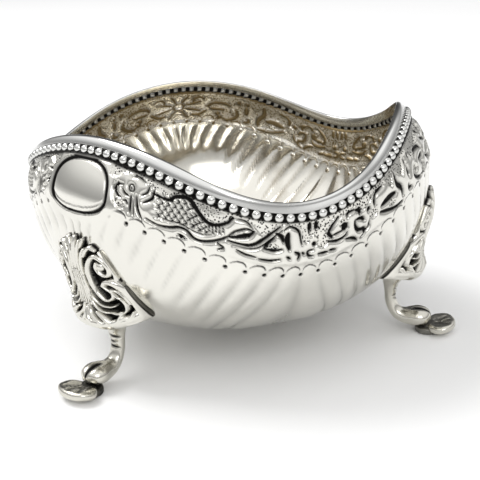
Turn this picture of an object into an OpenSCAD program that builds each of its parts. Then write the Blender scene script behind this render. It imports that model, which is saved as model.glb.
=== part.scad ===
// Three-footed silver sauce bowl with a waved, beaded rim.
//
// Frame: millimetres, +Z up. The origin is the middle of the whole outline, at the height of the
// table. The front leg, under the rim's front crest, points along -Y. The other two legs and
// crests follow every 120 degrees, so the rim dips between the legs. The front toe reaches
// further out than the back of the bowl, so the bowl's axis is a little to +Y of the origin.

/* [Body] */
// Widest diameter of the bowl
body_d = 125; // [100:1:155]
// Height of the widest level above the table
belly_h = 54.3; // [45:0.1:66]
// Height of the underside of the bowl above the table
clearance = 7.6; // [6:0.1:12]
// Mean height of the rim above the table
rim_h = 67.1; // [62:0.1:76]
// Half the rise from the lowest to the highest point of the rim
rim_wave = 7.7; // [0:0.1:9.5]
// Thickness of the sheet metal
wall = 1; // [0.7:0.1:2]

/* [Border] */
// Number of beads round the rim
bead_count = 130; // [90:2:132]
// Diameter of one bead
bead_d = 2.4; // [1.8:0.1:2.9]
// Height of the plain lip above the beads
lip_h = 2.8; // [2:0.1:4]
// Thickness of the plain lip
lip_t = 1.4; // [1:0.1:2]

/* [Knees] */
// Height of the underside of the knee plates above the table
knee_base_h = 18.6; // [15.5:0.1:22.5]
// Height of a knee plate
knee_h = 29.1; // [24:0.1:35]
// Greatest width of a knee plate, at its base
knee_w = 28.5; // [22:0.5:38]
// Distance a knee plate stands off the bowl near its base
knee_out = 11; // [9:0.1:13.5]

/* [Legs] */
// Distance from the top of a leg outwards to the middle of its foot pad
foot_out = 10.9; // [9:0.1:13.2]
// Diameter of a foot pad, where it meets the table
pad_d = 9; // [7:0.1:12]
// Length from the middle of a pad to the tip of the toe
toe_l = 9.2; // [7.5:0.1:11]
// Width of a toe
toe_w = 12.6; // [9:0.1:15]
// Thickness of a leg at its middle
shaft_d = 3.6; // [3:0.1:4.4]

/* [Hidden] */

front_angle = -90;
right_angle = 30;
left_angle = 150;

body_r = body_d / 2;

// Outline of the bowl. Below the belly it is a superellipse, and above it curves inwards.
low_power = 2.24;
low_root = 2.5;
incurve = 1.72;
incurve_ease = 0.31;

// The rim's crests are a little broader than its dips.
crest_flat = 0.11;

facets = 132;
floor_share = 0.06;

// The sheet is three zones, one on top of the other: plain base, fluted side and chased band.
// The side starts just below the knees and ends behind their narrow tops.
below_knee = 1.7;
side_on_knee = 0.75;
base_top_h = knee_base_h - below_knee;
side_top_h = knee_base_h + side_on_knee * knee_h;
lip_gap = 0.15;
bead_hold = bead_d / 2 - lip_gap;
bead_drop = lip_h + bead_hold;

knee_columns = 12;
knee_rows = 12;
knee_edge = 0.5;

leg_sides = 12;

silver = [0.83, 0.83, 0.80];
bright_silver = [0.90, 0.90, 0.87];
dark_silver = [0.58, 0.58, 0.56];

// Outer radius of a bowl whose widest radius is wide and whose lowest point is at base.
function bowl_r(z, wide, base) =
    z < belly_h
        ? wide * pow(max(0, 1 - pow(min(1, (belly_h - z) / (belly_h - base)), low_power)), 1 / low_root)
        : wide - body_r * (incurve * pow((z - belly_h) / body_r, 2)
                           - incurve_ease * pow((z - belly_h) / body_r, 4));

function outer_r(z) = bowl_r(z, body_r, clearance);

// Height of the top of the rim at an angle.
function rim_z(angle) =
    rim_h + rim_wave * (cos(3 * (angle - front_angle)) - crest_flat * cos(6 * (angle - front_angle)));
function wall_z(angle) = rim_z(angle) - bead_drop - bead_hold;

function polar(r, angle, z) = [r * cos(angle), r * sin(angle), z];

// One ring of the sheet, all of it at one height.
function level_ring(z, wide, base) =
    [for (i = [0:facets - 1]) polar(bowl_r(z, wide, base), 360 * i / facets, z)];
function reversed(list) = [for (k = [len(list) - 1:-1:0]) list[k]];

function joined(lists) = [for (l = lists) for (item = l) item];

// Side faces between rings of n points each, and one more band when the rings close on themselves.
function band_faces(rings, n, closed) =
    [for (k = [0:rings - (closed ? 1 : 2)])
        for (i = [0:n - 1])
            let (a = k * n, b = ((k + 1) % rings) * n, j = (i + 1) % n)
            for (f = [[a + i, b + i, b + j], [a + i, b + j, a + j]]) f];

// A cap is a strip of triangles from one half of its ring to the other.
function cap_faces(n, start) =
    [for (i = [0:n / 2 - 2])
        let (p = start + i, q = start + n - 1 - i)
        for (f = [[p, p + 1, q - 1], [p, q - 1, q]]) f];
function flipped(faces) = [for (f = faces) [f[0], f[2], f[1]]];

// Closed solid through rings that all have the same even number of points.
module skin(rings) {
    n = len(rings[0]);
    last = len(rings) - 1;
    polyhedron(
        points = joined(rings),
        faces = concat(
            band_faces(len(rings), n, false),
            cap_faces(n, 0),
            flipped(cap_faces(n, last * n))
        )
    );
}

// Closed ring-shaped solid through sections that follow each other round the axis.
module hoop(sections) {
    polyhedron(
        points = joined(sections),
        faces = flipped(band_faces(len(sections), len(sections[0]), true))
    );
}

// Heights from a surface's lowest point to the top of the base, closer together near the floor.
function base_levels(count, base) =
    [for (k = [0:count - 1])
        base + (base_top_h - base) * pow(floor_share + (1 - floor_share) * k / (count - 1), 1.5)];

// Dished floor of the bowl.
module bowl_base() {
    outer_levels = 6;
    inner_levels = 5;
    color(silver)
        on_axis()
            skin(concat(
                [for (z = base_levels(outer_levels, clearance)) level_ring(z, body_r, clearance)],
                reversed([for (z = base_levels(inner_levels, clearance + wall))
                    level_ring(z, body_r - wall, clearance + wall)])
            ));
}

// Ring of sheet from one height to another, which may both change with the angle.
module sheet_ring(low, high, outer_levels, inner_levels) {
    hoop([for (i = [0:facets - 1])
        let (angle = 360 * i / facets)
        concat(
            [for (k = [0:outer_levels - 1])
                let (z = low(angle) + (high(angle) - low(angle)) * k / (outer_levels - 1))
                polar(outer_r(z), angle, z)],
            [for (k = [inner_levels - 1:-1:0])
                let (z = low(angle) + (high(angle) - low(angle)) * k / (inner_levels - 1))
                polar(bowl_r(z, body_r - wall, clearance + wall), angle, z)]
        )
    ]);
}

// Side of the bowl, which carries the flutes and the knees.
module bowl_side() {
    color(silver)
        on_axis()
            sheet_ring(function (angle) base_top_h, function (angle) side_top_h, 6, 5);
}

// Upper part of the bowl, which carries the chased band and ends under the beads.
module bowl_band() {
    color(silver)
        on_axis()
            sheet_ring(function (angle) side_top_h, function (angle) wall_z(angle), 5, 4);
}

// The bead wire stands on the wall's top edge. A bead is a barrel between two narrow necks.
module bead_border() {
    steps = 3;
    sides = 6;
    neck = 0.55;
    color(bright_silver)
        on_axis()
            hoop([for (i = [0:bead_count * steps - 1])
                let (angle = 360 * i / (bead_count * steps),
                     swell = i % steps == 0 ? neck : 1,
                     z = rim_z(angle) - bead_drop)
                [for (s = [0:sides - 1])
                    let (a = 360 * s / sides)
                    polar(outer_r(z) - wall / 2 + swell * bead_d / 2 * cos(a), angle,
                          z + swell * bead_hold * sin(a) / sin(60))]
            ]);
}

// The lip is a plain band on top of the beads, rounded along its upper edge.
module rim_lip() {
    round_over = 0.3;
    color(silver)
        on_axis()
            hoop([for (i = [0:facets - 1])
                let (angle = 360 * i / facets, top = rim_z(angle), base = top - lip_h)
                [for (p = [[-1, 0], [1, 0], [1, 1 - round_over], [0.5, 1], [-0.5, 1], [-1, 1 - round_over]])
                    let (z = base + p[1] * lip_h)
                    polar(outer_r(z) - wall / 2 + p[0] * lip_t / 2, angle, z)]
            ]);
}

// How far the knee's middle line stands off the bowl, as a share of knee_out, over its height.
knee_line = [
    [0, 0.92], [0.06, 1.04], [0.16, 0.87], [0.25, 0.6], [0.34, 0.42],
    [0.47, 0.28], [0.6, 0.22], [0.68, 0.21], [0.86, 0.14], [1, 0.03]
];
function knee_stand(share) = knee_edge + knee_out * lookup(share, knee_line);

// Half the knee's width over its height: a shield, broad at the base and round at the crest.
function knee_half(share) = knee_w / 2 * (0.3 + 0.7 * pow(1 - pow(share, 2.4), 0.6));

function knee_ring(share) =
    let (z = knee_base_h + knee_h * share, back = outer_r(z), reach = knee_half(share) / back * 180 / PI)
    concat(
        [for (i = [0:knee_columns])
            let (u = 1 - 2 * i / knee_columns)
            polar(back, reach * u, z)],
        [for (i = [0:knee_columns])
            let (u = 2 * i / knee_columns - 1)
            polar(back + knee_edge + (knee_stand(share) - knee_edge) * pow(1 - u * u, 0.6), reach * u, z)]
    );

// Cast knee plate, made facing +X and turned to its leg's angle.
module knee(angle) {
    color(dark_silver)
        on_axis()
            rotate([0, 0, angle])
                skin([for (k = [0:knee_rows]) knee_ring(k / knee_rows)]);
}

// A leg starts in the middle of its knee's underside and bends outwards to the ankle.
leg_top_r = outer_r(knee_base_h) + knee_out * 0.55;
foot_r = leg_top_r + foot_out;
ankle_h = 5.6;

// The front toe is the outline's furthest point along -Y, and a bead at the back dip along +Y.
front_reach = foot_r + toe_l;
back_reach = body_r - wall / 2 + bead_d / 2;
axis_y = (front_reach - back_reach) / 2;
module on_axis() {
    translate([0, axis_y, 0]) children();
}

// Middle line of a leg: radius from the bowl's axis, height, and half thickness over shaft_d.
shaft_line = [
    [leg_top_r, knee_base_h, 0.68],
    [leg_top_r - 0.2, knee_base_h * 0.82, 0.54],
    [leg_top_r - 0.3, knee_base_h * 0.62, 0.5],
    [leg_top_r + 0.05 * foot_out, knee_base_h * 0.46, 0.5],
    [leg_top_r + 0.18 * foot_out, ankle_h + 0.7, 0.56],
    [leg_top_r + 0.4 * foot_out, ankle_h - 0.4, 0.68],
    [foot_r - 3, ankle_h - 0.2, 0.86],
    [foot_r - 1.2, ankle_h - 0.4, 0.86]
];
last_point = len(shaft_line) - 1;

// Direction of the middle line at one of its points, as an angle above the horizontal.
function line_slope(i) =
    let (a = shaft_line[max(0, i - 1)], b = shaft_line[min(last_point, i + 1)])
    atan2(b[1] - a[1], b[0] - a[0]);
function shaft_ring(i) =
    let (p = shaft_line[i], r = p[2] * shaft_d, slope = i == 0 ? -90 : line_slope(i))
    [for (s = [0:leg_sides - 1])
        let (a = 360 * s / leg_sides)
        [p[0] - r * cos(a) * sin(slope), -r * sin(a), p[1] + r * cos(a) * cos(slope)]];

// Flattened round pod, such as a toe, with its middle at the origin.
module pod(length, width, height) {
    bands = 8;
    sides = 14;
    skin([for (k = [0:bands])
        let (tilt = -84 + 168 * k / bands)
        [for (s = [0:sides - 1])
            let (a = 360 * s / sides)
            [length / 2 * cos(tilt) * cos(a), width / 2 * cos(tilt) * sin(a), height / 2 * sin(tilt)]]
    ]);
}

// Cast leg: shaft, two-lobed ankle, foot pad and toe.
module leg(angle) {
    pad_h = 3.2;
    ankle_r = 3;
    ankle_split = 2;
    toe_h = 5.2;
    toe_middle = foot_r + toe_l - pad_d * 0.5;
    color(silver)
        on_axis()
            rotate([0, 0, angle]) {
                skin([for (i = [0:last_point]) shaft_ring(i)]);
                for (side = [-1, 1])
                    translate([foot_r - ankle_split, side * ankle_split, ankle_h])
                        sphere(r = ankle_r, $fn = 32);
                translate([foot_r, 0, 0])
                    cylinder(h = pad_h, d = pad_d, $fn = 48);
                translate([toe_middle, 0, toe_h / 2 + 0.9])
                    pod(pad_d, toe_w, toe_h);
            }
}

bowl_base();
bowl_side();
bowl_band();
bead_border();
rim_lip();
knee(front_angle);  // knee_front
knee(right_angle);  // knee_right
knee(left_angle);  // knee_left
leg(front_angle);  // leg_front
leg(right_angle);  // leg_right
leg(left_angle);  // leg_left
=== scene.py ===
"""Looks of a three-footed silver sauce bowl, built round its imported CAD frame.

Everything is in metres, in the frame's own axes: +Z up, the front leg along -Y.
Round the bowl, an angle is counted in degrees from the front crest towards +X.
"""
import math

import bpy
import numpy as np
from mathutils import Matrix, Vector


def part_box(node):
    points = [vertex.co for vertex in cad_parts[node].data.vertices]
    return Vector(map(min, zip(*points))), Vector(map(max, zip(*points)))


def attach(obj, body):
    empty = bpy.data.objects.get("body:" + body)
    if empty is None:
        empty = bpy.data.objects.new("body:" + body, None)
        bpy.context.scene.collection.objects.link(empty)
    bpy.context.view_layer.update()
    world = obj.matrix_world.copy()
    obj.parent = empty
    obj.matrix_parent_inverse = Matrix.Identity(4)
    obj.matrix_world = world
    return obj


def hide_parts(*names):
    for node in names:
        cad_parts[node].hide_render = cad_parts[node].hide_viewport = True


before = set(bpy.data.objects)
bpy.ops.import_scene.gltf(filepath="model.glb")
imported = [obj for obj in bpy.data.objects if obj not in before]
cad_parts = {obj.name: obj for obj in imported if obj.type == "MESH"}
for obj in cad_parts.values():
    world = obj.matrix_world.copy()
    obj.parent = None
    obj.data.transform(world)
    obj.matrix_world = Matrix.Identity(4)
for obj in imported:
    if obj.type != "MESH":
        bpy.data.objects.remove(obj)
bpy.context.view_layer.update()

MM = 0.001

# ---------------------------------------------------------------- sizes of the bowl

BASE_LOW, BASE_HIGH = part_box("bowl_base")
BAND_LOW, BAND_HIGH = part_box("bowl_band")
LIP_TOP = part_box("rim_lip")[1][2]
KNEE_LOW, KNEE_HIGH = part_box("knee_front")
FRONT_TOE_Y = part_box("leg_front")[0][1]

BODY_R = (BAND_HIGH[0] - BAND_LOW[0]) / 2
AXIS_Y = (BASE_LOW[1] + BASE_HIGH[1]) / 2
BASE_Z = BASE_LOW[2]
WALL = 1.0 * MM
# The wall stands upright at the belly. Below it the bowl is a superellipse, and above it the wall
# is drawn in.
BELLY_Z = 54.3 * MM
LOW_POWER = 2.24
LOW_ROOT = 2.5
INCURVE = 1.72
INCURVE_EASE = 0.31

# The rim rises over each leg and dips half way between two legs.
RIM_WAVE = 7.7 * MM
CREST_FLAT = 0.11
RIM_MEAN = LIP_TOP - RIM_WAVE * (1 - CREST_FLAT)
LEG_ANGLES = {"front": 0, "right": 120, "left": 240}
HALF_THIRD = 60

BEADS = 130
BEAD_R = 1.33 * MM
# Towards the inside the beads are flattened to this share of their depth, and the edges of the
# wall and the lip each cover them by this much.
INNER_FLAT = 0.5
INNER_COVER = 0.6 * MM
LIP_HEIGHT = 2.8 * MM
LIP_THICK = 1.4 * MM
# Share of its height that the lip loses over a crest.
CREST_THINNING = 0.25
# From the middle line of the beads to the edge of the lip above them, and to the wall below.
BEAD_HOLD = 1.05 * MM
BEAD_DROP = LIP_HEIGHT + BEAD_HOLD
WALL_TOP_DROP = BEAD_DROP + BEAD_HOLD


def bowl_radius(z):
    """Radius of the bowl at height z: a superellipse below the belly, drawn in above it."""
    below = np.clip((BELLY_Z - z) / (BELLY_Z - BASE_Z), 0, 1)
    low = BODY_R * np.clip(1 - below ** LOW_POWER, 0, 1) ** (1 / LOW_ROOT)
    above = np.clip(z - BELLY_Z, 0, None) / BODY_R
    high = BODY_R - BODY_R * (INCURVE * above ** 2 - INCURVE_EASE * above ** 4)
    return np.where(z < BELLY_Z, low, high)


def rim_height(angle):
    """Height of the top of the rim at an angle in degrees."""
    turn = np.radians(3 * angle)
    return RIM_MEAN + RIM_WAVE * (np.cos(turn) - CREST_FLAT * np.cos(2 * turn))


def around(radius, angle, z):
    """Points at a radius, an angle from the front crest and a height."""
    radius, turn, z = np.broadcast_arrays(radius, np.radians(angle), z)
    return np.stack([radius * np.sin(turn), AXIS_Y - radius * np.cos(turn), z], axis=-1)


def turned(points, angle):
    """Points turned round the bowl's axis from the front leg to another."""
    c, s = math.cos(math.radians(angle)), math.sin(math.radians(angle))
    x, y = points[:, 0], points[:, 1] - AXIS_Y
    return np.stack([c * x - s * y, AXIS_Y + s * x + c * y, points[:, 2]], axis=-1)


# ---------------------------------------------------------------- mesh helpers

def add_piece(name, points, faces, materials, tarnish_and_shade, ground=None, second=None):
    """Adds a smooth-shaded mesh object.

    tarnish and ground hold one value per point; the first holds real tarnish together with painted
    shade. second marks the faces of the second material.
    """
    mesh = bpy.data.meshes.new(name)
    mesh.from_pydata(points.reshape(-1, 3).tolist(), [], faces)
    mesh.polygons.foreach_set("use_smooth", np.ones(len(mesh.polygons), dtype=bool))
    for layer, values in (("tarnish_and_shade", tarnish_and_shade), ("ground", ground)):
        if values is not None:
            data = mesh.attributes.new(layer, "FLOAT", "POINT").data
            data.foreach_set("value", np.ascontiguousarray(values, dtype=np.float32).ravel())
    for material in materials:
        mesh.materials.append(material)
    if second is not None:
        mesh.polygons.foreach_set("material_index", second.astype(np.int32))
    mesh.update()
    piece = bpy.data.objects.new(name, mesh)
    bpy.context.collection.objects.link(piece)
    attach(piece, "root")
    return piece


def grid_faces(rows, columns, closed_rows=False):
    """Quads between rows of points that close on themselves round the columns."""
    last = rows if closed_rows else rows - 1
    row = np.arange(last)[:, None] * columns
    above = (np.arange(1, last + 1) % rows)[:, None] * columns
    col = np.arange(columns)[None, :]
    after = (col + 1) % columns
    quads = np.stack([row + col, row + after, above + after, above + col], axis=-1)
    return quads.reshape(-1, 4).tolist()


def fan_faces(first, columns, tip, flip=False):
    """Triangles from one row of points to a tip."""
    ring = [(first + i, first + (i + 1) % columns) for i in range(columns)]
    return [(tip, b, a) if flip else (tip, a, b) for a, b in ring]


def round_angles(count):
    """Angles in degrees at even steps round the bowl."""
    return np.arange(count) * 360 / count


def round_turns(count):
    """Angles in radians at even steps round a small section."""
    return np.arange(count) * 2 * math.pi / count


def smoothstep(low, high, x):
    """Eases from 0 at low to 1 at high. It falls instead when low is the greater one."""
    t = np.clip((x - low) / (high - low), 0, 1)
    return t * t * (3 - 2 * t)


def smooth_line(points, steps=6):
    """Catmull-Rom curve through points, as an array of finer points."""
    p = np.array(points, dtype=float)
    p = np.concatenate([[2 * p[0] - p[1]], p, [2 * p[-1] - p[-2]]])
    t = np.linspace(0, 1, steps, endpoint=False)[:, None]
    parts = []
    for a, b, c, d in zip(p, p[1:], p[2:], p[3:]):
        parts.append(0.5 * (2 * b + (c - a) * t + (2 * a - 5 * b + 4 * c - d) * t ** 2
                            + (3 * b - a - 3 * c + d) * t ** 3))
    parts.append(p[-2:-1])
    return np.concatenate(parts)


def stroke_reach(x, y, strokes, to_plane, taper=0.65):
    """How each point lies to its nearest stroke.

    A stroke is (half width, [points]). Returns the distance to the edge of the nearest stroke,
    which is negative inside it, and the distance to its middle over its half width. Both are
    large away from all strokes. A stroke narrows towards its ends by the share taper.
    """
    far_edge, far_ratio = 1.0, 99.0
    edge = np.full(x.shape, far_edge)
    ratio = np.full(x.shape, far_ratio)
    for half, points in strokes:
        line = to_plane(smooth_line(points))
        margin = 6 * half + 2 * MM
        near = ((x > line[:, 0].min() - margin) & (x < line[:, 0].max() + margin)
                & (y > line[:, 1].min() - margin) & (y < line[:, 1].max() + margin))
        if not near.any():
            continue
        here = np.stack([x[near], y[near]], axis=-1)[:, None, :]
        start, step = line[:-1], np.diff(line, axis=0)
        length = np.maximum((step ** 2).sum(axis=-1), 1e-12)
        t = np.clip(((here - start) * step).sum(axis=-1) / length, 0, 1)
        distance = np.linalg.norm(here - start - t[..., None] * step, axis=-1)
        along = (np.arange(len(step)) + t) / len(step)
        width = half * (1 - taper + taper * np.sqrt(np.sin(np.pi * np.clip(along, 0.02, 0.98))))
        edge[near] = np.minimum(edge[near], (distance - width).min(axis=1))
        ratio[near] = np.minimum(ratio[near], (distance / width).min(axis=1))
    return edge, ratio


# ---------------------------------------------------------------- materials

# Punched dots: how fine they are, where the edge of one lies, and how dark dot and gap are.
PUNCH_SCALE = 1550.0
PUNCH_EDGE = (0.24, 0.46)
PUNCH_DARK = (0.95, 0.04)
# Wear comes in broad clouds, and the skin of a casting in fine grain.
CLOUD_SCALE = 70.0
CLOUD_EDGE = (0.3, 0.7)
GRAIN_SCALE = 700.0
# How much darkening, real tarnish and painted shade together, it takes to hide the silver, and how
# rough the darkened silver is.
DARKENING_EDGE = (0.02, 0.88)
DARKENED_ROUGH = 0.55
BUMP_STRENGTH = 0.6
BUMP_DEPTH = 0.15 * MM
RANGE_SOCKETS = ("From Min", "From Max", "To Min", "To Max")


def node_material(name):
    """A new material with its nodes, links and shader."""
    material = bpy.data.materials.new(name)
    material.use_nodes = True
    nodes = material.node_tree.nodes
    return material, nodes, material.node_tree.links, nodes["Principled BSDF"]


def silver_material(name, clean, tarnished_and_shaded, gloss, worn=0.06, grain=0.05):
    """Silver that is bright where its darkening layer, real tarnish together with painted shade,
    is 0 and dark where it is 1.

    Where the layer "ground" is 1 it is punched all over with fine dark dots. gloss is the
    roughness of clean silver, worn the strength of the clouds and grain that of the grain.
    """
    material, nodes, links, shader = node_material(name)
    shader.inputs["Metallic"].default_value = 1.0
    place = nodes.new("ShaderNodeTexCoord").outputs["Object"]

    def layer(title):
        node = nodes.new("ShaderNodeAttribute")
        node.attribute_name = title
        return node.outputs["Fac"]

    def maths(operation, a, b, clamp=False):
        node = nodes.new("ShaderNodeMath")
        node.operation = operation
        node.use_clamp = clamp
        for socket, value in zip(node.inputs, (a, b)):
            if isinstance(value, float):
                socket.default_value = value
            else:
                links.new(value, socket)
        return node.outputs[0]

    def spread(value, from_min, from_max, to_min, to_max):
        node = nodes.new("ShaderNodeMapRange")
        for socket, limit in zip(RANGE_SOCKETS, (from_min, from_max, to_min, to_max)):
            node.inputs[socket].default_value = limit
        links.new(value, node.inputs["Value"])
        return node.outputs["Result"]

    def noise(scale, detail):
        node = nodes.new("ShaderNodeTexNoise")
        node.inputs["Scale"].default_value = scale
        node.inputs["Detail"].default_value = detail
        links.new(place, node.inputs["Vector"])
        return node.outputs["Fac"]

    dots = nodes.new("ShaderNodeTexVoronoi")
    dots.inputs["Scale"].default_value = PUNCH_SCALE
    links.new(place, dots.inputs["Vector"])
    dot = spread(dots.outputs["Distance"], *PUNCH_EDGE, *PUNCH_DARK)
    punched = maths("MULTIPLY", dot, layer("ground"))

    cloud = spread(noise(CLOUD_SCALE, 5.0), *CLOUD_EDGE, -worn, worn)
    amount = maths("ADD", maths("ADD", layer("tarnish_and_shade"), punched), cloud, clamp=True)

    colour = nodes.new("ShaderNodeMix")
    colour.data_type = "RGBA"
    colour.inputs["A"].default_value = (*clean, 1)
    colour.inputs["B"].default_value = (*tarnished_and_shaded, 1)
    links.new(spread(amount, *DARKENING_EDGE, 0.0, 1.0), colour.inputs["Factor"])
    links.new(colour.outputs["Result"], shader.inputs["Base Color"])
    links.new(spread(amount, 0.0, 1.0, gloss, DARKENED_ROUGH), shader.inputs["Roughness"])

    height = maths("SUBTRACT", maths("MULTIPLY", noise(GRAIN_SCALE, 3.0), grain), punched)
    bump = nodes.new("ShaderNodeBump")
    bump.inputs["Strength"].default_value = BUMP_STRENGTH
    bump.inputs["Distance"].default_value = BUMP_DEPTH
    links.new(height, bump.inputs["Height"])
    links.new(bump.outputs["Normal"], shader.inputs["Normal"])
    return material


# Dark colours of real tarnish, also used for the painted shade that shares the same layer.
BLACK_TARNISH_AND_SHADE = (0.010, 0.0095, 0.009)
BROWN_TARNISH_AND_SHADE = (0.22, 0.165, 0.085)
outer_silver = silver_material("chased_silver", (0.755, 0.742, 0.69), BLACK_TARNISH_AND_SHADE, 0.16)
inner_silver = silver_material("inner_silver", (0.90, 0.875, 0.80), BROWN_TARNISH_AND_SHADE, 0.12, worn=0.24)
border_silver = silver_material("border_silver", (0.86, 0.86, 0.84), BLACK_TARNISH_AND_SHADE, 0.08, worn=0.03)
cast_silver = silver_material("cast_silver", (0.70, 0.685, 0.63), BLACK_TARNISH_AND_SHADE, 0.17, worn=0.09,
                              grain=0.16)
bead_silver = silver_material("bead_silver", (0.70, 0.70, 0.68), BLACK_TARNISH_AND_SHADE, 0.1, worn=0.08)
leg_silver = silver_material("leg_silver", (0.66, 0.64, 0.575), BLACK_TARNISH_AND_SHADE, 0.2, worn=0.16,
                             grain=0.4)

# ---------------------------------------------------------------- flutes

FLUTES = 75
FLUTE_STEP = 360 / FLUTES
FLUTE_DEPTH = 0.55 * MM
# The row of dots lies this far below the rim, less over the crests and more under the dips.
DOT_DROP = 0.301 * BODY_R
DOT_DIP = 0.029 * BODY_R
DOT_R = 0.64 * MM
# Depth in mm of the dots and of the line of arches.
DOT_DEPTH = 0.5
ARCH_DEPTH = 0.12
ARCH_RISE = 0.045 * BODY_R
# Degrees over which the sweep of the flutes fades towards a dip and a crest.
SWEEP_EASE = 6
# Degrees that a flute sweeps over a height of BODY_R: (height over BODY_R, degrees).
SWEEP_RATE = [(0.27, 66), (0.57, 38)]


def sweep_tables():
    """Two tables: how far a flute has swept from a dip, and how that grows with height."""
    offset = np.linspace(0.01, HALF_THIRD - 0.01, 3000)
    ease = (1 - np.exp(-offset / SWEEP_EASE)) * (1 - np.exp(-(HALF_THIRD - offset) / SWEEP_EASE))
    swept = np.cumsum((offset[1] - offset[0]) / ease)
    height = np.linspace(-0.2, 1.3, 1500)
    rate = np.interp(height, *zip(*SWEEP_RATE))
    grown = np.cumsum(rate * (height[1] - height[0]))
    return offset, swept, height * BODY_R, grown


SWEEP_OFFSET, SWEPT, SWEEP_Z, GROWN = sweep_tables()


def dot_height(angle):
    """Height of the row of dots, which follows the sloping rim and lies deeper in the dips."""
    turn = np.radians(3 * angle)
    rise = 3 * RIM_WAVE * np.sin(turn) / BODY_R
    return rim_height(angle) - (DOT_DROP - DOT_DIP * np.cos(turn)) * np.sqrt(1 + rise ** 2)


def flute_phase(angle, z):
    """Which flute a point lies on. Flutes fan out from each dip and sweep down to the legs."""
    offset = (angle % 120) - HALF_THIRD
    start = SWEPT + np.interp(dot_height(HALF_THIRD + SWEEP_OFFSET), SWEEP_Z, GROWN)
    here = np.interp(np.abs(offset), SWEEP_OFFSET, SWEPT) + np.interp(z, SWEEP_Z, GROWN)
    return np.sign(offset) * np.interp(here, start, SWEEP_OFFSET) / FLUTE_STEP


# ---------------------------------------------------------------- chased band

# Chased strokes: half width in mm, then points of (angle in degrees from the front crest,
# hundredths of the bowl's radius below the rim). They run to the right crest, and mirror images
# of them fill the rest of the band.
FISH = [
    (0.22, [(17.2, 10), (19, 9.3), (21.2, 10.5)]),
    (0.30, [(14.8, 14), (12.9, 14.6), (12.5, 16.5), (13.2, 18.5), (14.6, 19)]),
    (0.25, [(14.7, 15.5), (15.6, 17), (16.8, 17.5)]),
    (0.28, [(15.2, 20), (16.2, 19.8), (16.4, 21)]),
    (0.34, [(17.4, 17), (17.2, 24)]),
    (0.34, [(18.9, 16.5), (19.3, 21), (20.4, 25)]),
    (0.16, [(18.1, 18), (18.3, 24.5)]),
    (0.36, [(23.5, 11.5), (23, 15), (20.8, 18)]),
    (0.28, [(22.2, 11), (21.6, 13.5), (20.2, 15.5)]),
    (0.55, [(23, 13), (27, 13), (29, 10.5), (31.5, 9.2), (33, 10), (34.5, 13), (36.5, 15.7),
            (38.5, 15.5), (41, 13), (42.5, 10)]),
    (0.36, [(21.5, 24), (24.5, 25), (27.5, 24), (29.5, 22.5), (31.5, 22.5), (32.8, 24.5),
            (34.5, 25), (37, 23.5), (39.5, 21), (41, 19), (43, 18)]),
    (0.16, [(24, 20.6), (27, 21.3), (30, 20.6), (33, 21.6), (35.5, 21.5), (38, 19.5)]),
    (0.30, [(38.5, 23), (39.8, 24.5), (38.6, 26)]),
    (0.45, [(29.6, 25.8), (30.4, 26.2)]),
]
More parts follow.
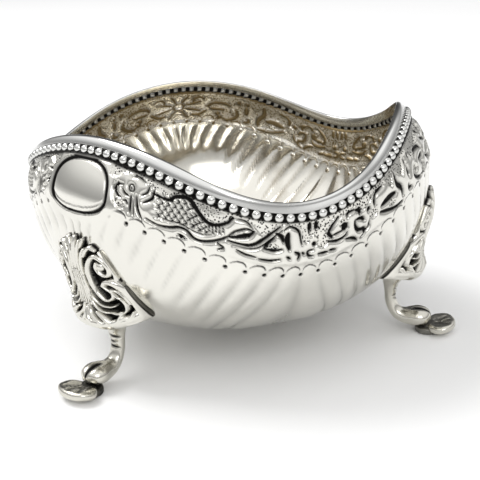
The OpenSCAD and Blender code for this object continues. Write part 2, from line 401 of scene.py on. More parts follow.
LEAVES = [
    (0.50, [(41, 19), (43.5, 17.7), (46, 15.7), (47.3, 13.5)]),
    (0.30, [(41.2, 18.5), (43, 15.5), (45.5, 13.3), (47.3, 13.5)]),
    (0.42, [(41, 20.5), (45, 20.5), (47.5, 19), (50.5, 14.5), (53.5, 10)]),
    (0.22, [(42, 21.8), (45.5, 21.8), (48.3, 20.2), (51.2, 15.8), (54, 11.5)]),
    (0.24, [(43, 10), (45.5, 10), (47, 12.5)]),
    (0.28, [(43, 23.5), (45, 24.6), (47.5, 25)]),
    (0.30, [(48.2, 25.5), (51, 25.6), (53.5, 24.7)]),
    (0.42, [(49.4, 20.5), (50.8, 17), (52, 15)]),
    (0.36, [(49.6, 20.5), (52, 20.8), (54, 20)]),
    (0.50, [(52.5, 13), (53.8, 14.2), (54.3, 16.5)]),
    (0.66, [(55.5, 13), (55.2, 16), (55.7, 20)]),
    (0.28, [(54.5, 11.5), (56, 10), (58, 12), (58.8, 18)]),
    (0.55, [(61, 9.5), (60.8, 12.5)]),
    (0.55, [(62.6, 9.5), (62.6, 12.5)]),
    (0.50, [(61.8, 18.5), (62.4, 19.5)]),
    (0.30, [(55.2, 23.5), (56, 24.5)]),
    (0.34, [(57.2, 21.5), (58.3, 22.8), (58, 25)]),
    (0.28, [(59, 22), (59.6, 23)]),
    (0.32, [(62, 21.4), (60.5, 22), (60.8, 24), (62, 24.6)]),
    (0.36, [(63.4, 24.2), (66, 24.8)]),
    (0.34, [(66.4, 24.2), (68.2, 25.2)]),
    (0.50, [(68.5, 11), (66.8, 13.5), (66, 16), (67, 19)]),
    (0.34, [(67, 18), (70, 17.8)]),
    (0.44, [(66, 20), (68.5, 21.3), (70.5, 21), (71.2, 19.6)]),
    (0.95, [(70.3, 16), (70.7, 17)]),
    (0.36, [(71, 13), (71.5, 11.5), (73.3, 11.5)]),
    (0.50, [(73.7, 12), (74.8, 13), (75, 15)]),
    (0.46, [(73.5, 16.5), (73.8, 19.5), (74.8, 22), (76.3, 22.8), (76.7, 25), (75.5, 26.2)]),
    (0.42, [(74, 16.5), (75.5, 17.2), (76.5, 19)]),
    (0.36, [(71, 22.5), (73, 24), (74.5, 26.2)]),
    (0.60, [(77.6, 15), (78, 16)]),
    (0.46, [(80, 16), (79.7, 13.5), (80.6, 11.3), (83, 11)]),
    (0.42, [(78.2, 21), (78, 23), (77.2, 24.5)]),
    (0.85, [(82.5, 19), (85, 18.6), (88, 19.5)]),
    (0.46, [(82, 21.5), (84.5, 23.6), (88, 26), (91.5, 26.5)]),
    (0.62, [(88.5, 11), (89, 16), (91, 20), (91.5, 24)]),
    (0.50, [(94.5, 11.5), (94.8, 13)]),
    (0.60, [(95, 15), (95.4, 19)]),
    (0.50, [(94.5, 22), (95, 24), (96.4, 24.8)]),
    (0.60, [(97.4, 11.4), (97.8, 12.8)]),
    (0.46, [(101, 15.5), (103, 14), (107, 14.5), (109, 17)]),
    (0.50, [(103.6, 18.6), (108, 18.4)]),
    (0.60, [(105.2, 21.2), (106, 22)]),
    (0.50, [(104.6, 23.4), (105.4, 24)]),
    (0.46, [(99, 18), (98.6, 21), (100.4, 24), (103, 25.6)]),
    (0.40, [(110.5, 12), (112, 10.6), (114, 12), (114.6, 15)]),
    (0.50, [(110, 20), (112.5, 22.5), (115, 22.5)]),
]
# The fish's eye, and the lines of its back and belly between which the scales lie.
FISH_EYE = (17.3, 14.2)
EYE_R = 0.8 * MM
EYE_LINE = 0.2 * MM
PUPIL_R = 0.24 * MM
FISH_BACK = [(22, 13), (29, 11), (31.5, 9.6), (34.5, 13.4), (37, 16.6), (41, 14.5)]
FISH_BELLY = [(22, 22), (27, 21.6), (31, 20.2), (35, 21), (41, 17.5)]
SCALE_ROWS = 5
SCALE_COLUMNS = 10
SCALE_STEP = 1.65
SCALE_SHIFT = 0.8
# A flower with its middle on the right crest.
FLOWER_MIDDLE = (120, 17)
PETALS = 8
PETAL_REACH = (3.0, 9.5)

# The cartouche: its middle below the rim, and half its width in degrees and height.
CARTOUCHE_MIDDLE = 19.8
CARTOUCHE_HALF = (10.2, 10.9)
CARTOUCHE_GROOVE = 0.55 * MM
# How dark the painted shadow of the beads is on the band just under them.
UNDER_BEADS_SHADOW = 0.85
# How much wider the strokes are cut than they are listed.
CUT_WIDTH = 1.08
# In mm: how far the ornament swells between the strokes, and how deep strokes and ground lie.
SWELL_HEIGHT = 0.5
CUT_DEPTH = 0.5
GROUND_DEPTH = 0.3

# The punched ground reaches from the beads down to this line.
GROUND_LINE = [
    (10, 12), (12.5, 12.5), (15, 9.5), (21, 9), (23, 11.5), (27, 11.5), (29, 9.4), (31.5, 8),
    (33, 9), (34.5, 12), (36.5, 14.6), (38.5, 14.5), (41, 12), (43, 9.4), (45.5, 9), (47, 11),
    (49, 15), (50.5, 13.5), (52.5, 10), (54.5, 9), (56, 9), (58.6, 10.5), (60, 17), (61.8, 14.5),
    (63.5, 18), (65.5, 14), (67, 10.5), (71, 11.5), (73.5, 10), (76, 14.5), (78, 13), (80, 10.5),
    (84, 10), (86.5, 15.5), (88, 9.5), (92, 16), (94, 10), (97.6, 9.5), (99.5, 15), (101, 13.5),
    (107, 12.5), (110, 10.5), (113, 9.4), (116.5, 12.5), (120, 9.5),
]
# More punched patches: middle angle and drop, and half their width and height.
GROUND_PATCHES = [
    (44.6, 16.2, 1.8, 1.3), (51.4, 18.8, 1.6, 1.5), (60, 14, 1.2, 4), (64.5, 18.5, 1.7, 3.4),
    (30.2, 26.2, 1.4, 1.1), (69.6, 14, 1.1, 1.6), (79.4, 19, 1.5, 2.2), (100, 20, 1, 2),
    (14.6, 22.4, 1.3, 1.6), (86.4, 22, 1.2, 1.4), (12.9, 17.5, 1.0, 4.5),
]


def fish_scales():
    """Rows of small hooked strokes that cover the fish's flank and follow its bent back."""
    scales = []
    for row in range(SCALE_ROWS):
        for column in range(SCALE_COLUMNS):
            angle = 24.2 + SCALE_STEP * column + SCALE_SHIFT * (row % 2)
            share = (row + 0.6) / (SCALE_ROWS + 0.1)
            back = np.interp(angle, *zip(*FISH_BACK))
            belly = np.interp(angle, *zip(*FISH_BELLY))
            drop = back + (belly - back) * share
            size = min(1.0, (belly - back) / 9)
            if size > 0.2:
                scales.append((0.2, [(angle, drop - size), (angle + 0.75 * size, drop),
                                      (angle, drop + size)]))
    return scales


def flower():
    """Petals round a middle, with their outlines as strokes."""
    middle, drop = FLOWER_MIDDLE
    near, far = PETAL_REACH
    strokes = []
    for petal in range(PETALS):
        turn = 2 * math.pi * (petal + 0.5) / PETALS
        line = [(middle + reach * math.sin(turn) * 0.92, drop - reach * math.cos(turn) * 0.85)
                for reach in (near, 0.6 * far, far)]
        strokes.append((0.4, line))
    ring = [(middle + 2 * math.sin(math.radians(a)), drop - 2.2 * math.cos(math.radians(a)))
            for a in range(0, 361, 45)]
    return strokes + [(0.35, ring)]


def band_plane(points):
    """Angles and hundredths of the radius turned into metres along and down the band."""
    return points * [math.radians(1) * 0.975 * BODY_R, 0.01 * BODY_R]


def chased_relief(angle, drop):
    """Relief, tarnish with painted shade, and punched ground of the band at angles from 0 to 120.

    The last layer, plain, is 1 where the cartouche keeps the flutes and dots away.
    """
    drawn = FISH + LEAVES + fish_scales() + flower()
    strokes = [(CUT_WIDTH * half * MM, line) for half, line in drawn]
    place = band_plane(np.stack([angle, 100 * drop / BODY_R], axis=-1))
    x, y = place[..., 0], place[..., 1]
    edge, _ = stroke_reach(x, y, strokes, band_plane)
    eye = band_plane(np.array(FISH_EYE))
    from_eye = np.hypot(x - eye[0], y - eye[1])
    ring = np.abs(from_eye - EYE_R) - EYE_LINE
    edge = np.minimum(edge, np.minimum(ring, from_eye - PUPIL_R))

    cut = smoothstep(0.14 * MM, -0.16 * MM, edge)
    swell = 1 - np.exp(-np.clip(edge, 0, None) / (0.7 * MM))
    down = y / (0.01 * BODY_R)
    inside_band = smoothstep(6.5, 8.5, down) * smoothstep(28.5, 25.5, down)

    ground = smoothstep(0.6, -0.4, down - np.interp(angle, *zip(*GROUND_LINE)))
    for middle, level, half, tall in GROUND_PATCHES:
        patch = np.hypot((angle - middle) / half, (down - level) / tall)
        ground = np.maximum(ground, smoothstep(1.1, 0.85, patch))
    ground = ground * smoothstep(9.5, 11.5, angle)

    relief = SWELL_HEIGHT * swell * (1 - 0.8 * ground) - GROUND_DEPTH * ground - CUT_DEPTH * cut
    relief = relief * inside_band * MM
    tarnish_and_shade = np.maximum(cut, 0.42 * np.exp(-np.clip(edge, 0, None) / (0.3 * MM)))
    # Painted shadow of the beads darkens the top of the band.
    tarnish_and_shade = np.maximum(tarnish_and_shade, UNDER_BEADS_SHADOW * smoothstep(9.2, 8, down))

    # The cartouche: a rounded shield, with a smooth domed field inside its dark outline.
    across = np.abs(angle) / CARTOUCHE_HALF[0]
    along = (down - CARTOUCHE_MIDDLE) / CARTOUCHE_HALF[1]
    power = 2.9 - 0.6 * smoothstep(-0.2, 0.9, along)
    shape = (across ** power + np.abs(along) ** power) ** (1 / power)
    gap = (shape - 1) * CARTOUCHE_HALF[1] * 0.01 * BODY_R
    field = smoothstep(0, -0.2 * MM, gap)
    groove = smoothstep(CARTOUCHE_GROOVE, 0.5 * CARTOUCHE_GROOVE, np.abs(gap))
    inner_gap = gap + 1.9 * MM * smoothstep(0.1, 0.9, along)
    inner_line = smoothstep(0.3 * MM, 0.1 * MM, np.abs(inner_gap)) * smoothstep(0.25, 0.5, along)
    dome = 0.55 * MM * np.clip(1 - shape ** 2, 0, 1) ** 0.7
    relief = relief * (1 - field) + field * dome - (0.55 * groove + 0.2 * inner_line) * MM
    tarnish_and_shade = np.maximum(tarnish_and_shade * (1 - field), np.maximum(groove, 0.55 * inner_line))
    ground = ground * (1 - np.maximum(field, groove))
    plain = smoothstep(3.4 * MM, 1.6 * MM, gap)
    return relief, tarnish_and_shade, ground, plain


# ---------------------------------------------------------------- bowl

COLUMNS = 1440
THIRD = COLUMNS // 3
# The chased band is turned this many columns towards the right leg.
BAND_TURN = 3
BAND_ROWS = 62
BAND_BOTTOM = 0.36 * BODY_R
FLUTE_ROWS = 52
# The rows of the flutes crowd towards the middle of the bottom by this power.
ROW_POWER = 2.5
# Half width in degrees of the plain patch behind a knee, over the height as a share of BODY_R.
PATCH = [(0.1, 34), (0.45, 23), (0.62, 14), (0.8, 8)]


def wall_rows(angle):
    """Heights of the rows of the wall, from its top edge down: a fine band, then the flutes."""
    band = np.linspace(WALL_TOP_DROP, BAND_BOTTOM, BAND_ROWS)
    share = (1 - np.arange(1, FLUTE_ROWS + 1) / (FLUTE_ROWS + 0.3)) ** ROW_POWER
    top = rim_height(angle)
    upper = top[None, :] - band[:, None]
    lower = BASE_Z + (upper[-1][None, :] - BASE_Z) * share[:, None]
    return np.concatenate([upper, lower])


def fluted_relief(angle, z, plain):
    """Relief and tarnish of the flutes, and of the dots and arches that they start from.

    The last layer is 1 in the valleys between the flutes, which are given painted shade.
    """
    phase = flute_phase(angle, z)
    part = phase - np.floor(phase)
    drop = dot_height(angle) - z
    arch = ARCH_RISE * np.sqrt(np.clip(1 - (2 * part - 1) ** 2, 0, 1))
    below = drop + arch
    below_arch = 0.3 * smoothstep(-0.5 * MM, 0.8 * MM, below) + 0.7 * smoothstep(0, 9 * MM, below)
    radius = bowl_radius(z)
    leg = np.abs((angle + HALF_THIRD) % 120 - HALF_THIRD)
    reach = np.interp(z / BODY_R, *zip(*PATCH))
    behind_knee = smoothstep(reach - 1, reach + 11, leg + 40 * smoothstep(0.74, 0.8, z / BODY_R))
    fade = smoothstep(0.3, 0.62, radius / BODY_R) * behind_knee
    lobes = np.abs(np.sin(np.pi * part)) ** 0.75 - 1
    open_side = 1 - plain
    relief = FLUTE_DEPTH * lobes * below_arch * fade * open_side
    line = smoothstep(0.38 * MM, 0.14 * MM, np.abs(below)) * smoothstep(0.04, 0.12, part)
    line = line * smoothstep(0.96, 0.88, part) * behind_knee
    across = np.minimum(part, 1 - part) * np.radians(FLUTE_STEP) * radius
    dot = smoothstep(1.0, 0.65, np.hypot(across, drop) / DOT_R)
    relief = relief - (DOT_DEPTH * dot + ARCH_DEPTH * line) * open_side * MM
    valley = (1 - np.abs(np.sin(np.pi * part))) ** 2 * below_arch * fade * open_side
    return relief, np.maximum(0.8 * line, dot) * open_side, valley


def wall_surface():
    """Angles, heights and layers of the grid that both sides of the wall use."""
    angle = round_angles(COLUMNS)
    z = wall_rows(angle)
    angles = np.broadcast_to(angle, z.shape)
    drop = rim_height(angles) - z

    # The band is made from the front crest to the right one. Each column finds its mirror image.
    column = np.arange(COLUMNS)
    column = np.minimum(column, COLUMNS - column)
    column = np.where(column > THIRD, 2 * THIRD - column, column)
    column = np.roll(column, BAND_TURN)
    part = slice(0, THIRD + 1)
    layers = chased_relief(angles[:, part], drop[:, part])
    relief, tarnish_and_shade, ground, plain = (layer[:, column] for layer in layers)
    flute_relief, flute_tarnish, valley = fluted_relief(angles, z, plain)
    relief = relief + flute_relief
    relief = relief * smoothstep(WALL_TOP_DROP, WALL_TOP_DROP + 0.6 * MM, drop)
    return angles, z, relief, np.maximum(tarnish_and_shade, flute_tarnish), ground, valley


def add_bowl():
    """The raised sheet: one closed skin with the same relief outside and inside."""
    angles, z, relief, tarnish_and_shade, ground, valley = wall_surface()
    step = 0.05 * MM
    slope = (bowl_radius(z + step) - bowl_radius(z - step)) / (2 * step)
    size = np.sqrt(1 + slope ** 2)
    outward, upward = 1 / size, -slope / size
    radius = bowl_radius(z)
    outer = around(radius + relief * outward, angles, z + relief * upward)
    depth = relief - WALL
    inner = around(np.clip(radius + depth * outward, 0, None), angles, z + depth * upward)
    inner[0, :, 2] = z[0] + INNER_COVER
    sheet = np.concatenate([inner[::-1], outer]).reshape(-1, 3)
    rows = 2 * len(z)
    tips = np.array([[0, AXIS_Y, BASE_Z + WALL], [0, AXIS_Y, BASE_Z]])
    points = np.concatenate([sheet, tips])
    faces = grid_faces(rows, COLUMNS)
    inside = np.arange(len(faces)) < (len(z) - 1) * COLUMNS
    faces += fan_faces(0, COLUMNS, rows * COLUMNS)
    faces += fan_faces((rows - 1) * COLUMNS, COLUMNS, rows * COLUMNS + 1, flip=True)
    inside = np.concatenate([inside, np.ones(COLUMNS, bool), np.zeros(COLUMNS, bool)])

    # Inside, a brown speckled band lies behind the chasing; the bottom is painted a little darker
    # as a dark reflection, and the valleys between the flutes get painted shade.
    inner_bottom_shade, underside_shade = 0.2, 0.16
    brown = 0.36 * smoothstep(0.31 * BODY_R, 0.26 * BODY_R, rim_height(angles) - z)
    inner_tarnish_and_shade = 0.6 * tarnish_and_shade + brown + inner_bottom_shade * smoothstep(0.5, 0.3, z / BODY_R) + 0.45 * valley
    speckled = np.maximum(0.8 * ground, 1.5 * brown)
    # Outside, the underside is painted a little darker as a reflection of the shadowed floor, and
    # the valleys between the flutes get painted shade.
    outer_tarnish_and_shade = np.maximum(tarnish_and_shade, underside_shade * smoothstep(0.52, 0.22, z / BODY_R) + 0.2 * valley)
    inner_tarnish_and_shade = np.clip(inner_tarnish_and_shade, 0, 1)
    dark = np.concatenate([inner_tarnish_and_shade[::-1].ravel(), outer_tarnish_and_shade.ravel(), [inner_bottom_shade, underside_shade]])
    punched = np.concatenate([speckled[::-1].ravel(), ground.ravel(), [0, 0]])
    bowl = add_piece("bowl_sheet", points, faces, [outer_silver, inner_silver], dark, punched,
                     inside)
    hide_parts("bowl_base", "bowl_side", "bowl_band")


add_bowl()

# ---------------------------------------------------------------- border

# Radius of the lip's upper edges, bevel of its lower ones, and half the width of the beads' wire.
LIP_CORNER = 0.55 * MM
LIP_BEVEL = 0.25 * MM
WIRE_HALF = 0.55 * MM
# Two painted dark reflection streaks on each third of the lip: degrees past a crest, half width,
# strength.
LIP_REFLECTION_STREAKS = [(52, 9, 0.5), (80, 5, 0.3)]
# Painted shade on the five lines of points along the lip's underside, from the inside to the
# outside.
LIP_UNDERSIDE_SHADE = [[0.2], [0.5], [0.9], [0.9], [0.4]]


def add_lip():
    """The plain band on top of the beads, with its upper edges rounded."""
    columns, corner, bevel = 720, LIP_CORNER, LIP_BEVEL
    angle = round_angles(columns)
    half = LIP_THICK / 2
    section = []
    for side, start in ((1, 0), (-1, 90)):
        for turn in np.radians(np.linspace(start, start + 90, 6)):
            section.append((side * (half - corner) + corner * math.cos(turn),
                            LIP_HEIGHT - corner + corner * math.sin(turn)))
    section += [(-half, bevel - INNER_COVER), (bevel - half, -INNER_COVER), (bevel - half, 0),
                (half - bevel, 0), (half, bevel)]
    rows = []
    crest = smoothstep(-0.2, 1, np.cos(np.radians(3 * angle)))
    for out, up in section:
        z = rim_height(angle) - LIP_HEIGHT + up * (1 - CREST_THINNING * crest)
        rows.append(around(bowl_radius(z) - WALL / 2 + out, angle, z))
    points = np.stack(rows)
    faces = grid_faces(len(section), columns, closed_rows=True)
    # Painted dark reflection streaks along the lip.
    reflection_streak = sum(strength * np.exp(-((angle % 120 - place) / half) ** 2)
                 for place, half, strength in LIP_REFLECTION_STREAKS)
    tarnish_and_shade = np.broadcast_to(reflection_streak, (len(section), columns)).copy()
    # Painted shade on the lip's underside.
    tarnish_and_shade[-len(LIP_UNDERSIDE_SHADE):] = LIP_UNDERSIDE_SHADE
    lip = add_piece("rim_lip_band", points, faces, [border_silver], tarnish_and_shade)
    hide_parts("rim_lip")


def bead_line(angle):
    """Radius and height of the middle line of the beads."""
    z = rim_height(angle) - BEAD_DROP
    return bowl_radius(z) - WALL / 2, z


def add_beads():
    """Round beads at even steps along the rim, and the wire that they sit on, painted fully dark
    as the shade between the beads.
    """
    turn = np.linspace(0, 360, 4001)
    radius, z = bead_line(turn)
    line = around(radius, turn, z)
    length = np.concatenate([[0], np.cumsum(np.linalg.norm(np.diff(line, axis=0), axis=1))])
    angle = np.interp((np.arange(BEADS) + 0.5) / BEADS * length[-1], length, turn)
    radius, z = bead_line(angle)
    centre = around(radius, angle, z)

    rings, sides = 10, 18
    tilt = np.radians(np.linspace(-90, 90, rings + 1)[1:-1])
    spin = round_turns(sides)
    ball = np.stack([
        np.cos(tilt)[:, None] * np.cos(spin), np.cos(tilt)[:, None] * np.sin(spin),
        np.sin(tilt)[:, None] + 0 * spin], axis=-1).reshape(-1, 3)
    ball = np.concatenate([ball, [[0, 0, -1], [0, 0, 1]]])
    count = len(ball)
    ball_faces = grid_faces(rings - 1, sides)
    ball_faces += fan_faces(0, sides, count - 2, flip=True)
    ball_faces += fan_faces((rings - 2) * sides, sides, count - 1)
    axis_to_bead = (centre[:, None, :2] - [0, AXIS_Y]) / radius[:, None, None]
    out = (ball[None, :, :2] * axis_to_bead).sum(axis=-1)
    points = centre[:, None, :] + BEAD_R * ball[None, :, :]
    points[..., :2] -= ((1 - INNER_FLAT) * BEAD_R * np.minimum(out, 0))[..., None] * axis_to_bead
    faces = [tuple(start + v for v in face) for start in range(0, BEADS * count, count)
             for face in ball_faces]
    below = -np.broadcast_to(ball[:, 2], out.shape)
    # Painted shade on the inner and lower side of each bead.
    tarnish_and_shade = 0.4 * smoothstep(0.1, -0.5, out) + 0.55 * smoothstep(0.35, 0.95, below)
    beads = add_piece("bead_row", points, faces, [bead_silver], tarnish_and_shade)
    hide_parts("bead_border")

    core_sides, core_columns = 10, 720
    turn = round_angles(core_columns)
    radius, z = bead_line(turn)
    rows = []
    for a in round_turns(core_sides):
        rows.append(around(radius + WIRE_HALF * math.cos(a), turn, z + BEAD_HOLD * math.sin(a)))
    faces = grid_faces(core_sides, core_columns, closed_rows=True)
    # The wire is painted fully dark as the shade in the gaps between the beads.
    core = add_piece("bead_wire", np.stack(rows), faces, [border_silver],
                     np.ones(core_sides * core_columns))


add_lip()
add_beads()

# ---------------------------------------------------------------- knees

KNEE_BASE_Z = KNEE_LOW[2]
KNEE_H = KNEE_HIGH[2] - KNEE_BASE_Z
KNEE_W = 28.5 * MM
KNEE_OUT = 11 * MM
KNEE_EDGE = 0.5 * MM
KNEE_LINE = [
    (0, 0.92), (0.06, 1.04), (0.16, 0.87), (0.25, 0.6), (0.34, 0.42),
    (0.47, 0.28), (0.6, 0.22), (0.68, 0.21), (0.86, 0.14), (1, 0.03),
]
# Raised scrolls on the right half of a knee: half width in mm, then points of (share of the half
# width, share of the height). The left half is their mirror image.
SCROLLS = [
    (0.85, [(0.70, 0.49), (0.69, 0.43), (0.60, 0.39), (0.49, 0.38), (0.39, 0.43), (0.32, 0.50),
            (0.30, 0.60), (0.34, 0.70), (0.44, 0.77), (0.58, 0.82), (0.74, 0.84), (0.89, 0.80),
            (0.93, 0.73), (0.86, 0.67), (0.74, 0.655), (0.65, 0.69), (0.63, 0.74), (0.68, 0.775)]),
    (1.35, [(0.735, 0.735), (0.745, 0.745)]),
    (0.50, [(0.16, 0.62), (0.15, 0.50), (0.18, 0.42), (0.27, 0.35), (0.40, 0.315), (0.54, 0.31),
            (0.64, 0.325)]),
    (0.50, [(0.10, 0.52), (0.12, 0.40), (0.18, 0.33), (0.28, 0.275), (0.40, 0.25), (0.56, 0.25)]),
    (1.25, [(0.57, 0.54), (0.66, 0.575), (0.80, 0.57), (0.92, 0.51), (0.97, 0.42), (0.975, 0.30),
            (0.95, 0.18), (0.84, 0.13), (0.70, 0.12)]),
    (0.60, [(0.58, 0.53), (0.66, 0.49), (0.72, 0.46), (0.76, 0.42), (0.81, 0.40), (0.83, 0.34),
            (0.80, 0.28), (0.74, 0.25)]),
    (0.38, [(0.70, 0.505), (0.80, 0.49), (0.88, 0.43), (0.90, 0.34)]),
    (0.60, [(0.54, 0.25), (0.62, 0.24), (0.70, 0.25), (0.62, 0.19), (0.55, 0.13)]),
    (0.90, [(0.24, 0.24), (0.34, 0.20), (0.44, 0.15), (0.50, 0.10)]),
    (0.80, [(0.05, 0.30), (0.10, 0.22), (0.20, 0.17), (0.34, 0.12)]),
    (1.00, [(0.0, 0.26), (0.03, 0.17), (0.10, 0.11), (0.22, 0.08)]),
    (0.80, [(0.58, 0.16), (0.68, 0.19), (0.80, 0.20), (0.88, 0.25)]),
    (0.80, [(0.93, 0.60), (1.0, 0.68), (1.0, 0.78), (0.95, 0.88)]),
    (0.50, [(0.80, 0.61), (0.92, 0.61), (1.0, 0.55)]),
    (0.60, [(0.20, 0.64), (0.21, 0.76), (0.30, 0.85), (0.42, 0.90)]),
    (0.75, [(0.12, 0.68), (0.11, 0.80), (0.18, 0.91), (0.30, 0.97)]),
    (0.80, [(0.36, 0.83), (0.50, 0.89), (0.70, 0.92), (0.86, 0.90)]),
    (0.70, [(0.30, 0.91), (0.46, 0.97), (0.60, 0.99)]),
    (0.80, [(0.02, 0.70), (0.02, 0.86), (0.05, 1.0)]),
]
# Thin upright reeds on the spine of a knee: shares of the half width, and their half width in mm.
SPINE_REEDS = (0.0, 0.07, 0.14)
REED_HALF = 0.34
# A roll runs along the lower edge, which rises towards the corners. All are shares of KNEE_H.
ROLL_MIDDLE = 0.045
ROLL_HALF = 0.07
MIDDLE_RISE = 0.045
CORNER_RISE = 0.1
# In mm: how deep the ground lies between the scrolls at the most, and where the knee is flat.
GROUND_SUNK = 1.6
EDGE_SUNK = 0.45
# Height of the scrolls over that depth, and how far the knee stands out over its own outline.
SCROLL_HEIGHT = 1.45
KNEE_FULLNESS = 1.08


def knee_half_width(share):
    """Half the width of a knee at a share of its height."""
    share = np.clip(share, 0, 1)
    return KNEE_W / 2 * (0.3 + 0.7 * (1 - share ** 2.4) ** 0.6)


def knee_plane(points):
    """Shares of the width and height turned into metres across and up the knee."""
    return np.stack([points[:, 0] * knee_half_width(points[:, 1]), points[:, 1] * KNEE_H], axis=-1)


def lower_edge(across):
    """Height of a knee's lower edge, as a share of its height."""
    return MIDDLE_RISE + CORNER_RISE * smoothstep(0.25, 1.05, np.abs(across))


def knee_ridges(across, share):
    """Height of the scrolls above the sunk ground, from 0 to 1."""
    x, y = across * knee_half_width(share), share * KNEE_H
    strokes = [(half * MM, line) for half, line in SCROLLS]
    for reed in SPINE_REEDS:
        strokes.append((REED_HALF * MM, [(reed, 0.3), (0.8 * reed, 0.45), (reed, 0.68)]))
    _, ratio = stroke_reach(np.abs(x), y, strokes, knee_plane, taper=0.45)
    ridge = np.sqrt(np.clip(1 - ratio ** 2, 0, 1))
    from_roll = (share - lower_edge(across) - ROLL_MIDDLE) / ROLL_HALF
    roll = np.sqrt(np.clip(1 - from_roll ** 2, 0, 1))
    return np.maximum(ridge, roll)


def add_knee(name, leg_angle):
    """A cast plate with raised scrolls, closed by a plain back that lies inside the sheet."""
    columns, rows, back_columns = 241, 151, 12
    fine_ends = np.sin(np.linspace(math.pi / 2, -math.pi / 2, columns))
    across, climb = np.meshgrid(fine_ends, np.linspace(0, 1, rows))
    lowest = lower_edge(across)
    share = lowest + (1.03 - lowest) * climb
    z = KNEE_BASE_Z + KNEE_H * share
    back = bowl_radius(z)
    line = KNEE_EDGE + KNEE_OUT * np.interp(share, *zip(*KNEE_LINE))
    stand = KNEE_EDGE + (line - KNEE_EDGE) * np.clip(1 - across ** 2, 0, 1) ** 0.66
    ridge = knee_ridges(across, share)
    turn = knee_half_width(share) / back
    sunk = np.minimum(GROUND_SUNK * MM, EDGE_SUNK * MM + 0.4 * stand)
    sunk = sunk + 0.5 * MM * smoothstep(0.85, 0.98, share)
    radius = back + KNEE_FULLNESS * stand - sunk + SCROLL_HEIGHT * ridge * sunk
    front = around(radius, np.degrees(turn * across), z)
    behind = np.broadcast_to(np.linspace(-1, 1, back_columns), (rows, back_columns))
    rear_z = z[:, :1] + 0 * behind
    rear = around(bowl_radius(rear_z) - 0.6 * WALL, np.degrees(turn[:, :1] * behind), rear_z)
    sheet = np.concatenate([front, rear], axis=1)
    count = columns + back_columns
    tips = sheet[[0, -1]].mean(axis=1)
    points = np.concatenate([sheet.reshape(-1, 3), tips])
    faces = grid_faces(rows, count)
    faces = [face[::-1] for face in faces]
    faces += fan_faces(0, count, rows * count)
    faces += fan_faces((rows - 1) * count, count, rows * count + 1, flip=True)
    # The knee's outer side wall is painted dark as the shadow line where the knee meets the bowl.
    side_wall_shade = 0.9 * smoothstep(0.99, 0.999, np.abs(across)) * smoothstep(0.66, 0.5, share)
    dark = np.maximum(smoothstep(0.8, 0.3, ridge), side_wall_shade)
    dark = np.concatenate([dark, np.full((rows, back_columns), 0.5)], axis=1)
    dark[0] = 0.2
    points = turned(points, leg_angle)
    knee = add_piece("scroll_" + name, points, faces, [cast_silver],
                     np.concatenate([dark.ravel(), [0.4, 0.4]]))
    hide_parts("knee_" + name)


for name, leg_angle in LEG_ANGLES.items():
    add_knee(name, leg_angle)

# ---------------------------------------------------------------- legs

# From the tip of the toe back to the middle of the foot, and from there to the leg's top.
TOE_REACH = 9.2 * MM
LEG_SPREAD = 10.9 * MM
FOOT_R = AXIS_Y - FRONT_TOE_Y - TOE_REACH
LEG_TOP_R = FOOT_R - LEG_SPREAD
# Middle line of a leg in mm: distance out from its top, height, and half its thickness.
SHAFT = [
    (0.3, 20.8, 4.2), (0.1, 18.4, 3.5), (-0.2, 16.2, 2.5), (-0.3, 13.4, 1.95), (-0.2, 10.8, 1.85),
    (0.3, 8.8, 1.85), (1.1, 7.2, 1.95), (2.4, 5.9, 2.15), (4.3, 5.1, 2.5), (6.6, 5.0, 2.95),
    (9.0, 5.1, 3.1), (11.3, 4.8, 2.5), (12.6, 4.5, 1.0),
]
SHAFT_STEPS = 8
# The straight part of the shaft has filed nicks between these heights in mm.
NICKED = (9.5, 16.5)
NICK_DEPTH = 0.28 * MM
CLEFT_DEPTH = 0.34
POD_SIDES = 40
POD_RINGS = 25


def loft(rings):
    """Points and faces of a closed skin through rings of the same number of points."""
    rings = np.array(rings)
    rows, columns = rings.shape[:2]
    tips = rings[[0, -1]].mean(axis=1)
    faces = grid_faces(rows, columns)
    faces += fan_faces(0, columns, rows * columns, flip=True)
    faces += fan_faces((rows - 1) * columns, columns, rows * columns + 1)
    return np.concatenate([rings.reshape(-1, 3), tips]), faces


def shaft_part():
    """The shaft and the two-lobed ankle that it swells into."""
    line = smooth_line(SHAFT, SHAFT_STEPS) * MM
    sides = 40
    spin = round_turns(sides)
    step = np.gradient(line[:, :2], axis=0)
    slope = np.arctan2(step[:, 1], step[:, 0])
    slope[:SHAFT_STEPS] = -math.pi / 2
    rings, dark = [], []
    for (out, z, half), tilt in zip(line, slope):
        ankle = smoothstep(4.5 * MM, 9 * MM, out)
        cleft = ankle * np.exp(-(np.sin(spin) / 0.3) ** 2) * (np.cos(spin) > 0)
        nick = 0
        if NICKED[0] * MM < z < NICKED[1] * MM:
            nick = smoothstep(0.35, 0.8, math.sin(z / MM * 3.1 + math.sin(z / MM)) * 0.5 + 0.5)
        nick = nick * smoothstep(0.5, 0.95, np.cos(spin + 0.5 * math.sin(z / MM * 1.7)))
        r = half * (1 - CLEFT_DEPTH * cleft) - NICK_DEPTH * nick
        wide = 1.3 + 0.15 * ankle
        rings.append(np.stack([wide * r * np.sin(spin),
                               -(LEG_TOP_R + out + r * np.cos(spin) * -math.sin(tilt)),
                               z + r * np.cos(spin) * math.cos(tilt)], axis=-1))
        dark.append(0.95 * smoothstep(0.25, 0.7, cleft) + 0.8 * nick)
    points, faces = loft(rings)
    return points, faces, np.concatenate([np.array(dark).ravel(), [0.2, 0.8]])


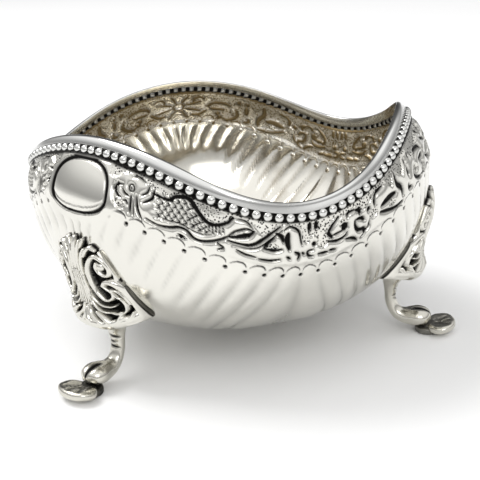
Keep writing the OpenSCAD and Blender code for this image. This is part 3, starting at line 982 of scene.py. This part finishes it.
def pod_part(middle, size, power, tarnish_and_shade, curl=None):
    """A rounded pod: middle (across, out, up) and half sizes in mm, squarer for a low power."""
    rings, dark = [], []
    for tilt in np.radians(np.linspace(-88, 88, POD_RINGS)):
        spin = round_turns(POD_SIDES)
        c = math.cos(tilt) ** power
        s = math.copysign(abs(math.sin(tilt)) ** power, math.sin(tilt))
        x, y, z = size[0] * c * np.sin(spin), size[1] * c * np.cos(spin), size[2] * s + 0 * spin
        shade = np.full(spin.shape, tarnish_and_shade)
        if curl:
            x, y, z, shade = curl(x, y, z, shade)
        rings.append(np.stack([(middle[0] + x) * MM, -(FOOT_R + (middle[1] + y) * MM),
                               (middle[2] + z) * MM], axis=-1))
        dark.append(shade)
    points, faces = loft(rings)
    return points, faces, np.concatenate([np.array(dark).ravel(), [tarnish_and_shade, tarnish_and_shade]])


def toe_curl(x, y, z, shade):
    """A raised outer edge round the toe, with grooves that fan out from its dark middle."""
    above = smoothstep(-0.2, 0.6, z)
    spread = np.hypot(x / 6.6, (y + 1.5) / 6.2)
    fan = np.arctan2(x, y + 4.5)
    groove = np.exp(-((np.abs(fan) - 0.42) / 0.07) ** 2) + np.exp(-(fan / 0.06) ** 2)
    groove = groove * smoothstep(0.95, 0.7, spread) * above
    dish = np.exp(-(spread / 0.5) ** 4) * above
    lift = 0.9 * smoothstep(-1, 4.7, y) + 0.35 * smoothstep(3, 6, np.abs(x))
    cut = np.clip(groove, 0, 1)
    return x, y, z + lift - 0.5 * cut - 0.7 * dish, np.clip(shade + 0.8 * cut + 0.2 * dish, 0, 1)


def add_leg(name, leg_angle):
    """The shaft with its ankle, a base plate, a pad and the toe, as one piece."""
    parts = [
        shaft_part(),
        pod_part((0, 0.8, 1.1), (4.3, 4.0, 1.1), 0.35, 0.7),
        # The pad under the ankle is painted dark as the shadow at the join below the ankle.
        pod_part((0, 1.3, 2.2), (3.3, 2.3, 1.0), 0.7, 0.8),
        pod_part((0, 4.9, 2.1), (6.6, 4.7, 1.85), 0.75, 0.08, toe_curl),
    ]
    points, faces, tarnish_and_shade = [], [], []
    start = 0
    for part_points, part_faces, part_tarnish in parts:
        points.append(part_points)
        faces += [tuple(start + v for v in face) for face in part_faces]
        tarnish_and_shade.append(part_tarnish)
        start += len(part_points)
    points = turned(np.concatenate(points) + [0, AXIS_Y, 0], leg_angle)
    leg = add_piece("limb_" + name, points, faces, [leg_silver], np.concatenate(tarnish_and_shade))
    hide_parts("leg_" + name)


for name, leg_angle in LEG_ANGLES.items():
    add_leg(name, leg_angle)

# ---------------------------------------------------------------- stage, light and camera

def add_stage():
    """A wide pale floor."""
    reach = 6.0
    corners = [(-reach, -reach, 0), (reach, -reach, 0), (reach, reach, 0), (-reach, reach, 0)]
    mesh = bpy.data.meshes.new("floor")
    mesh.from_pydata(corners, [], [(0, 1, 2, 3)])
    floor = bpy.data.objects.new("floor", mesh)
    bpy.context.collection.objects.link(floor)
    material, _, _, shader = node_material("pale_floor")
    shader.inputs["Base Color"].default_value = (0.95, 0.95, 0.95, 1)
    shader.inputs["Roughness"].default_value = 0.8
    shader.inputs["Specular IOR Level"].default_value = 0.1
    mesh.materials.append(material)


def add_lamp(name, place, size, power):
    """A rectangular lamp at a place, aimed at the middle of the bowl."""
    data = bpy.data.lights.new(name, "AREA")
    data.shape = "RECTANGLE"
    data.size, data.size_y = size
    data.energy = power
    lamp = bpy.data.objects.new(name, data)
    lamp.location = place
    aim = Vector((0, 0, 0.05)) - Vector(place)
    lamp.rotation_euler = aim.to_track_quat("-Z", "Y").to_euler()
    bpy.context.collection.objects.link(lamp)


def add_world():
    """A studio that is white overhead and darker round the horizon."""
    world = bpy.data.worlds.new("studio")
    world.use_nodes = True
    nodes, links = world.node_tree.nodes, world.node_tree.links
    back = nodes["Background"]
    direction = nodes.new("ShaderNodeTexCoord")
    split = nodes.new("ShaderNodeSeparateXYZ")
    links.new(direction.outputs["Generated"], split.inputs[0])
    ramp = nodes.new("ShaderNodeValToRGB")
    stops = [(0.0, 0.7), (0.1, 0.38), (0.3, 0.56), (0.55, 1.0), (1.0, 1.0)]
    elements = ramp.color_ramp.elements
    elements[0].position, elements[1].position = stops[0][0], stops[-1][0]
    elements[0].color = (stops[0][1],) * 3 + (1,)
    elements[1].color = (stops[-1][1],) * 3 + (1,)
    for place, tone in stops[1:-1]:
        elements.new(place).color = (tone, tone, tone, 1)
    links.new(split.outputs["Z"], ramp.inputs["Fac"])

    # A dark part of the room stands beyond the object, out of the camera's sight.
    facing = nodes.new("ShaderNodeVectorMath")
    facing.operation = "DOT_PRODUCT"
    facing.inputs[1].default_value = (-0.62, 0.62, 0.48)
    links.new(direction.outputs["Generated"], facing.inputs[0])
    shade = nodes.new("ShaderNodeMapRange")
    shade.interpolation_type = "SMOOTHSTEP"
    for socket, limit in zip(RANGE_SOCKETS, (0.72, 0.95, 1.0, 0.12)):
        shade.inputs[socket].default_value = limit
    links.new(facing.outputs["Value"], shade.inputs["Value"])
    toned = nodes.new("ShaderNodeVectorMath")
    toned.operation = "SCALE"
    links.new(ramp.outputs["Color"], toned.inputs[0])
    links.new(shade.outputs["Result"], toned.inputs["Scale"])
    links.new(toned.outputs["Vector"], back.inputs["Color"])
    back.inputs["Strength"].default_value = 1.0
    bpy.context.scene.world = world


def add_camera():
    """Camera at a front three-quarter angle, turned very slightly about its own axis."""
    middle = Vector((0, AXIS_Y, 0))
    place = middle + Vector((3.010, -3.239, 1.989)) * BODY_R
    target = middle + Vector((0.0284, 0.0263, 0.4583)) * BODY_R
    roll = -0.0396
    forward = (target - place).normalized()
    right = forward.cross(Vector((0, 0, 1))).normalized()
    up = right.cross(forward)
    turned_right = right * math.cos(roll) + up * math.sin(roll)
    turned_up = up * math.cos(roll) - right * math.sin(roll)
    data = bpy.data.cameras.new("camera")
    data.lens = 66.95
    data.sensor_width = 36
    data.clip_start = 0.01
    camera = bpy.data.objects.new("camera", data)
    basis = Matrix((turned_right, turned_up, -forward)).transposed().to_4x4()
    camera.matrix_world = Matrix.Translation(place) @ basis
    bpy.context.collection.objects.link(camera)
    bpy.context.scene.camera = camera


add_stage()
add_world()
add_lamp("key", (-1.0, -0.4, 1.8), (1.0, 1.0), 20)
add_lamp("fill", (1.4, -1.0, 1.2), (1.0, 1.0), 8)
add_camera()
bpy.context.scene.view_settings.view_transform = "Standard"
